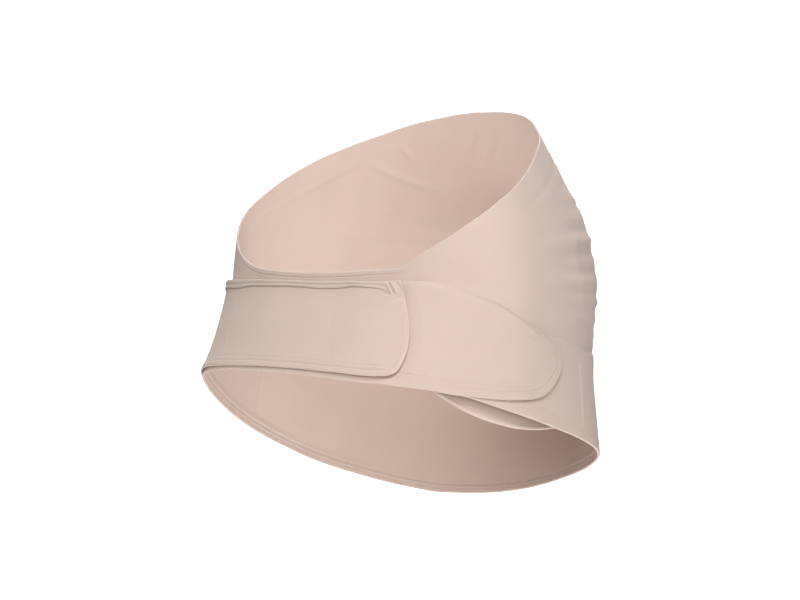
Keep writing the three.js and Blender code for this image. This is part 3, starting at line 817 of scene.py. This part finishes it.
def front_panel():
    seam = RUCHED_SEAM
    between = spread(seam + SEAM_RUN, 360 - SEAM_RUN - seam, COLUMN_STEP)
    columns = join_runs(seam_run(seam, 1), between, seam_run(360 - seam, -1)[::-1])
    return closed_wall(
        "front_panel_cloth", columns, front_panel_low, rim_height, front_panel_shape, PANEL_CLOTH,
        PANEL_ROWS, seams=("start", "end"),
    )


def wrap_panel():
    seam = RUCHED_SEAM
    gathered = seam - GATHER_ZONE
    columns = join_runs(
        seam_run(-seam, 1), spread(SEAM_RUN - seam, -gathered, COLUMN_STEP),
        spread(-gathered, gathered, 0.85), spread(gathered, seam - SEAM_RUN, COLUMN_STEP),
        seam_run(seam, -1)[::-1],
    )
    return closed_wall(
        "wrap_panel_cloth", columns, wrap_panel_low, rim_height, wrap_panel_shape, PANEL_CLOTH,
        PANEL_ROWS, seams=("start", "end"),
    )


def front_band():
    end = 360 - SIDE_SEAM
    columns = join_runs(spread(HIDDEN_END, end - SEAM_RUN, 0.6), seam_run(end, -1)[::-1])
    return closed_wall(
        "front_band_cloth", columns, front_band_low, front_band_high, front_band_shape, BAND_CLOTH,
        FRONT_BAND_ROWS, seams=("end",),
    )


def back_band():
    start = -SIDE_SEAM
    tip = BACK_BAND[-1][0]
    columns = join_runs(
        seam_run(start, 1), spread(start + SEAM_RUN, 38, COLUMN_STEP), spread(38, 48, 0.4),
        spread(48, 76, 0.6), spread(76, tip - 3, 0.35), spread(tip - 3, tip - 0.6, 0.2),
        spread(tip - 0.6, tip, 0.1),
    )
    return closed_wall(
        "back_band_cloth", columns, back_band_low, back_band_high, back_band_shape, BAND_CLOTH,
        STRAP_ROWS, seams=("start",),
    )


def tightening_flap():
    start = -SIDE_SEAM
    columns = join_runs(
        seam_run(start, 1), spread(start + SEAM_RUN, 14, COLUMN_STEP), spread(14, FLAP_END - 3, 0.45),
        spread(FLAP_END - 3, FLAP_END - 0.5, 0.2), spread(FLAP_END - 0.5, FLAP_END, 0.1),
    )
    return closed_wall(
        "tightening_flap_cloth", columns, flap_low, flap_high, flap_shape, STRAP_CLOTH, STRAP_ROWS,
        turned=flap_turned, seams=("start",),
    )


def hook_patch(name, start, end, low, high):
    def patch_low(angle):
        return low(angle) + HOOK_MARGIN

    def patch_high(angle):
        return high(angle) - HOOK_MARGIN

    columns = spread(start, end, 0.5)
    return closed_wall(name, columns, patch_low, patch_high, patch_shape, HOOK_CLOTH, PATCH_ROWS)


def flap_binding():
    """The tape folded over the flap's upper edge, bunched at the free end."""
    start = -SIDE_SEAM
    last = FLAP_END - 0.4
    even = join_runs(spread(start, 26, 0.6), spread(26, last, 0.16), spread(last, FLAP_END, 0.1))
    angle = flap_turned(even, np.ones_like(even))
    bunch = grow(even, FLAP_END - 8.5, 5.0)
    top = flap_high(angle)
    inside = flap_inner(angle)
    face = inside + CLOTH_THICK + 0.2
    end_round = np.sqrt(1 - (1 - np.minimum((FLAP_END - even) * 1.6, 1.0)) ** 2)
    wrinkle = np.sin(even * 2.9 + 0.8 * np.sin(even * 1.1)) * bunch
    low = top - read_off(TAPE_TALL, even) - 0.5 * wrinkle
    crown = top + TAPE_CROWN + 0.4 * bunch + 0.2 * wrinkle
    profile = []
    for share in np.linspace(0, 1, 19):
        ridge = abs(math.sin(2 * math.pi * share)) ** 0.8
        swell = math.sin(math.pi * share) ** 0.6
        tucked = np.sin(even * 1.9 + 6.5 * share + 0.9 * np.sin(even * 1.3 + 4.0 * share))
        puff = 0.55 * ridge * (1 - bunch) + bunch * (0.9 * swell + 0.85 * tucked * swell)
        profile.append((face + 0.6 + puff, low + (crown - low) * share * 0.97))
    section = [
        (inside + 0.1, crown - 0.5), (inside + 0.05, top + 0.35), (face, top + 0.3), (face, low + 0.5),
        (face + 0.05, low + 0.1), (face + 0.35, low),
    ]
    section += profile[1:]
    section += [(face + 0.45, crown + 0.02), (inside + 0.5, crown)]
    offsets = np.stack([np.broadcast_to(o, angle.shape) for o, z in section], 1)
    heights = np.stack([np.broadcast_to(z, angle.shape) for o, z in section], 1)
    centre = (face + 0.5)[:, None]
    offsets = centre + (offsets - centre) * end_round[:, None]
    middle = ((low + crown) / 2)[:, None]
    heights = middle + (heights - middle) * (0.75 + 0.25 * end_round[:, None])
    around = np.repeat(angle[:, None], offsets.shape[1], 1)
    points = skin_points(around, heights, offsets + settle(around, heights))
    stations, sides = points.shape[:2]
    faces = []
    for i in range(stations - 1):
        for j in range(sides):
            k = (j + 1) % sides
            here = i * sides
            faces.append((here + k, here + j, here + sides + j, here + sides + k))
    faces.append(tuple(range(sides)))
    faces.append(tuple((stations - 1) * sides + j for j in reversed(range(sides))))
    run = run_along(points[:, 0])
    uv = np.stack([np.repeat(run[:, None], sides, 1), heights + offsets], -1).reshape(-1, 2)
    piece = make_object("flap_binding_tape", points.reshape(-1, 3), faces, TAPE_CLOTH, uv, {})
    return outward_faces(piece)


def outward_faces(piece):
    """Turns the piece's faces outwards."""
    work = bmesh.new()
    work.from_mesh(piece.data)
    bmesh.ops.recalc_face_normals(work, faces=work.faces)
    work.to_mesh(piece.data)
    work.free()
    piece.data.update()
    return piece


def sewn_row_tree():
    """Short stitches along each path: pitch, length and half thickness are its sizes."""
    inputs = (
        ("Paths", "Geometry"), ("Pitch", "Float", 0.0034), ("Length", "Float", 0.0025),
        ("Half Thickness", "Float", 0.00027), ("Thread", "Material"),
    )
    tree, given = new_tree("sewn row", "GeometryNodeTree", inputs, (("Stitches", "Geometry"),))
    curves = add_node(tree, "GeometryNodeMeshToCurve", {"Mesh": given["Paths"]})
    spacing = {"Curve": curves.outputs["Curve"], "Length": given["Pitch"]}
    even = add_node(tree, "GeometryNodeResampleCurve", spacing, mode="LENGTH")
    path = {"Curve": even.outputs["Curve"]}
    spots = add_node(tree, "GeometryNodeCurveToPoints", path, mode="EVALUATED")
    tangent = {"Vector": spots.outputs["Tangent"]}
    turn = add_node(tree, "FunctionNodeAlignRotationToVector", tangent, axis="Z")
    bead = add_node(tree, "GeometryNodeMeshIcoSphere", {"Radius": 1.0, "Subdivisions": 2})
    half_thick = given["Half Thickness"]
    half_long = add_math(tree, "MULTIPLY", given["Length"], 0.5)
    size = add_node(tree, "ShaderNodeCombineXYZ", {"X": half_thick, "Y": half_thick, "Z": half_long})
    stitches = {
        "Points": spots.outputs["Points"], "Instance": bead.outputs["Mesh"],
        "Rotation": turn.outputs[0], "Scale": size.outputs[0],
    }
    place = add_node(tree, "GeometryNodeInstanceOnPoints", stitches)
    real = add_node(tree, "GeometryNodeRealizeInstances", {0: place.outputs[0]})
    smooth = add_node(tree, "GeometryNodeSetShadeSmooth", {"Geometry": real.outputs[0]})
    thread = {"Geometry": smooth.outputs[0], "Material": given["Thread"]}
    finish = add_node(tree, "GeometryNodeSetMaterial", thread)
    add_node(tree, "NodeGroupOutput", {0: finish.outputs[0]})
    return tree


SEWN_ROW = sewn_row_tree()


def sew(name, paths, pitch=STITCH_PITCH, long=STITCH_LONG, half_thick=THREAD_HALF_THICK):
    """Sews along paths of points in mm."""
    points = []
    edges = []
    for path in paths:
        first = len(points)
        points += (path * 0.001).tolist()
        edges += [(first + k, first + k + 1) for k in range(len(path) - 1)]
    mesh = bpy.data.meshes.new(name + "_paths")
    mesh.from_pydata(points, edges, [])
    guide = add_to_scene(name + "_guide", mesh)
    modifier = guide.modifiers.new("sewn row", "NODES")
    modifier.node_group = SEWN_ROW
    values = {
        "Pitch": pitch * 0.001, "Length": long * 0.001, "Half Thickness": half_thick * 0.001,
        "Thread": THREAD,
    }
    for item in SEWN_ROW.interface.items_tree:
        if item.item_type == "SOCKET" and item.in_out == "INPUT" and item.name in values:
            modifier[item.identifier] = values[item.name]
    bpy.context.view_layer.update()
    sewn = guide.evaluated_get(bpy.context.evaluated_depsgraph_get())
    made = bpy.data.meshes.new_from_object(sewn)
    bpy.data.objects.remove(guide)
    made.name = name
    piece = add_to_scene(name, made)
    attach(piece, "root")
    return piece


def line_on(angle, height, proud):
    return skin_points(angle, height, proud + settle(angle, height))


def inset(angle, height, distance):
    """A line that keeps a distance to the left of a line on the surface."""
    run = run_along(body_points(angle, height)[:, :2])
    step = np.gradient(run) / np.where(np.gradient(angle) == 0, 1e-6, np.gradient(angle))
    step = np.clip(np.abs(step), 1.5, 5.0)
    dx = np.gradient(angle) * step
    dz = np.gradient(height)
    size = np.hypot(dx, dz)
    return angle - distance * dz / size / step, height + distance * dx / size


def tongue_edge():
    """The tongue's outline from its lower edge round its end to its upper edge."""
    out = np.concatenate([np.arange(-90, 80, 1.0), np.arange(80, 92.4, 0.2)])
    back = np.concatenate([np.arange(92.3, 80, -0.2), np.arange(80, 76, -0.5)])
    return np.concatenate([out, back]), np.concatenate([back_band_low(out), back_band_high(back)])


def smooth_line(values, width):
    kernel = np.hanning(width + 2)[1:-1]
    kernel /= kernel.sum()
    padded = np.pad(values, width // 2, mode="edge")
    return np.convolve(padded, kernel, "valid")[: len(values)]


front_panel_cloth = front_panel()
wrap_panel_cloth = wrap_panel()
front_band_cloth = front_band()
back_band_cloth = back_band()
flap_cloth = tightening_flap()
binding_tape = flap_binding()
flap_patch = hook_patch("flap_hook_tape", FLAP_PATCH_START, FLAP_END - RAMP_WIDE, flap_low, flap_high)
tongue_patch = hook_patch(
    "tongue_hook_tape", TONGUE_PATCH_START, TONGUE_PATCH_END, back_band_low, back_band_high
)

for piece, node, finish in (
    (front_panel_cloth, "front_panel", "panel_cloth"),
    (wrap_panel_cloth, "wrap_panel", "panel_cloth"),
    (front_band_cloth, "front_band", "band_cloth"),
    (back_band_cloth, "back_band", "band_cloth"),
    (flap_cloth, "tightening_flap", "strap_cloth"),
    (binding_tape, "flap_binding", "tape"),
    (flap_patch, "flap_hook_patch", "hook_fabric"),
    (tongue_patch, "tongue_hook_patch", "hook_fabric"),
):
    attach(piece, "root")
    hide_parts(node)


def rows_of_stitches():
    """The needle rows along hems and seams."""
    hem_angle, hem_height = tongue_edge()
    line_angle, line_height = inset(hem_angle, hem_height, HEM_WIDE)
    line_angle = smooth_line(line_angle, 9)
    line_height = smooth_line(line_height, 9)
    proud = back_band_inner(line_angle, line_height) + CLOTH_THICK + 0.1
    tongue = line_on(line_angle, line_height, proud)
    sew("tongue_hem_stitches", [tongue])
    turn = np.arange(-92, FLAP_END - 7.5, 1.0)
    flap_rows = [line_on(turn, flap_low(turn) + 5.6, flap_inner(turn) + CLOTH_THICK + 0.25)]
    share = np.linspace(0.1, 0.82, 60)
    turn = flap_turned(np.full(60, FLAP_END), share) - 1.9
    height = flap_low(turn) + share * (flap_high(turn) - flap_low(turn))
    flap_rows.append(line_on(turn, height, flap_inner(turn) + CLOTH_THICK + 0.25))
    sew("flap_hem_stitches", flap_rows)
    turn = np.arange(50, 262.6, 0.5)
    outer = FIRST_LAYER + CLOTH_THICK + 0.12
    sew("band_hem_stitches", [line_on(turn, front_band_low(turn) + HEM_WIDE, outer)])
    inner = FIRST_LAYER - 0.5
    rows = [line_on(turn, front_band_low(turn) + row, inner) for row in FACING_ROWS]
    turn = np.arange(-96.4, -52, 0.5)
    rows += [line_on(turn, back_band_low(turn) + row, inner) for row in FACING_ROWS]
    sew("band_facing_stitches", rows, pitch=3.0, long=2.6, half_thick=0.24)
    turn = np.arange(-94, 36, 1.0)
    middle = flap_high(turn) + TAPE_CROWN - 0.5 * (read_off(TAPE_TALL, turn) + TAPE_CROWN)
    tape = line_on(turn, middle, flap_inner(turn) + CLOTH_THICK + 0.85)
    sew("tape_stitches", [tape], pitch=2.8, long=2.1, half_thick=0.22)


def zigzag(start, end, count, half_wide, proud):
    """A zigzag between two places on the surface, each given by angle and height."""
    share = np.linspace(0, 1, count)
    angle = start[0] + (end[0] - start[0]) * share
    height = start[1] + (end[1] - start[1]) * share
    side = np.where(np.arange(count) % 2 == 0, 1.0, -1.0) * half_wide
    return line_on(angle + side / 2.9, height, proud(angle))


def band_face(angle):
    return FIRST_LAYER + CLOTH_THICK + 0.02 + 0 * angle


def band_lining(angle):
    return FIRST_LAYER - 0.1 + 0 * angle


def flap_face(angle):
    return flap_inner(angle) + CLOTH_THICK + 0.12


def seam_zigzags():
    """Zigzag rows that hold the side seam and the two stays of the flap."""
    side = [
        zigzag((107.2, -55.0), (99.0, -112.0), 38, 0.8, band_face),
        zigzag((106.0, -55.0), (97.8, -112.0), 38, 0.8, band_face),
        zigzag((-97.6, -62.0), (-97.6, -112.0), 34, 0.8, band_lining),
    ]
    sew("side_seam_stitches", dense(side), pitch=1.5, long=1.6, half_thick=0.22)
    stays = [
        zigzag((-51.4, 4.0), (-40.9, -47.0), 32, 1.0, flap_face),
        zigzag((9.8, 3.5), (11.8, -53.0), 34, 1.0, flap_face),
        zigzag((12.0, 1.5), (14.0, -53.0), 34, 1.0, flap_face),
    ]
    sew("flap_stay_stitches", dense(stays), pitch=1.6, long=1.7, half_thick=0.22)


def dense(paths):
    """The same lines with four points on each step, so that stitches follow them."""
    finer = []
    for path in paths:
        corners = np.arange(len(path))
        spots = np.linspace(0, len(path) - 1, 4 * (len(path) - 1) + 1)
        finer.append(np.stack([np.interp(spots, corners, path[:, axis]) for axis in range(3)], 1))
    return finer


rows_of_stitches()
seam_zigzags()


def plain_glow(name):
    """A plain white surface that shines evenly."""
    paper, _, surface = new_material(name)
    surface["Base Color"].default_value = (0.8, 0.8, 0.8, 1.0)
    surface["Roughness"].default_value = 0.9
    surface["Emission Color"].default_value = WHITE
    surface["Emission Strength"].default_value = WHITE_GLOW
    return paper


def look_at_middle(name, data, turn, lift, away):
    """Adds something that looks at the middle of the belt from a place round it."""
    turn = math.radians(turn)
    lift = math.radians(lift)
    flat = away * math.cos(lift)
    holder = add_to_scene(name, data)
    holder.location = (-flat * math.sin(turn), flat * math.cos(turn), away * math.sin(lift))
    holder.rotation_euler = (-holder.location).to_track_quat("-Z", "Y").to_euler()
    return holder


def set_as_paper(name, material):
    """Makes the newest object white paper, which is seen but gives and stops no light."""
    surface = bpy.context.object
    surface.name = name
    surface.data.materials.append(plain_glow(material))
    for ray in ("diffuse", "glossy", "transmission", "volume_scatter", "shadow"):
        setattr(surface, "visible_" + ray, False)


def studio():
    """A white floor far below, a white backdrop all round, an even room light and soft lamps."""
    bpy.ops.mesh.primitive_plane_add(size=2 * STUDIO_REACH, location=(0.0, 0.0, FLOOR_HEIGHT))
    set_as_paper("pale_floor", "pale floor")
    bpy.ops.mesh.primitive_uv_sphere_add(segments=32, ring_count=16, radius=STUDIO_REACH)
    bpy.context.object.data.flip_normals()
    set_as_paper("white_backdrop", "white backdrop")
    world = bpy.data.worlds.new("even room light")
    world.use_nodes = True
    room = world.node_tree.nodes["Background"].inputs
    room["Color"].default_value = WHITE
    room["Strength"].default_value = ROOM_LIGHT
    bpy.context.scene.world = world
    for name, turn, lift, away, size, power in LAMPS:
        light = bpy.data.lights.new(name, "AREA")
        light.size = size
        light.energy = power
        look_at_middle(name, light, turn, lift, away)


def camera():
    """The photograph's view: from behind, towards the closing side, level with the middle."""
    lens = bpy.data.cameras.new("camera")
    lens.sensor_width = SENSOR_WIDE
    lens.lens = LENS_LONG
    lens.shift_x = VIEW_SHIFT
    bpy.context.scene.camera = look_at_middle("camera", lens, VIEW_TURN, 0.0, VIEW_AWAY)


studio()
camera()
bpy.context.scene.view_settings.view_transform = "Standard"
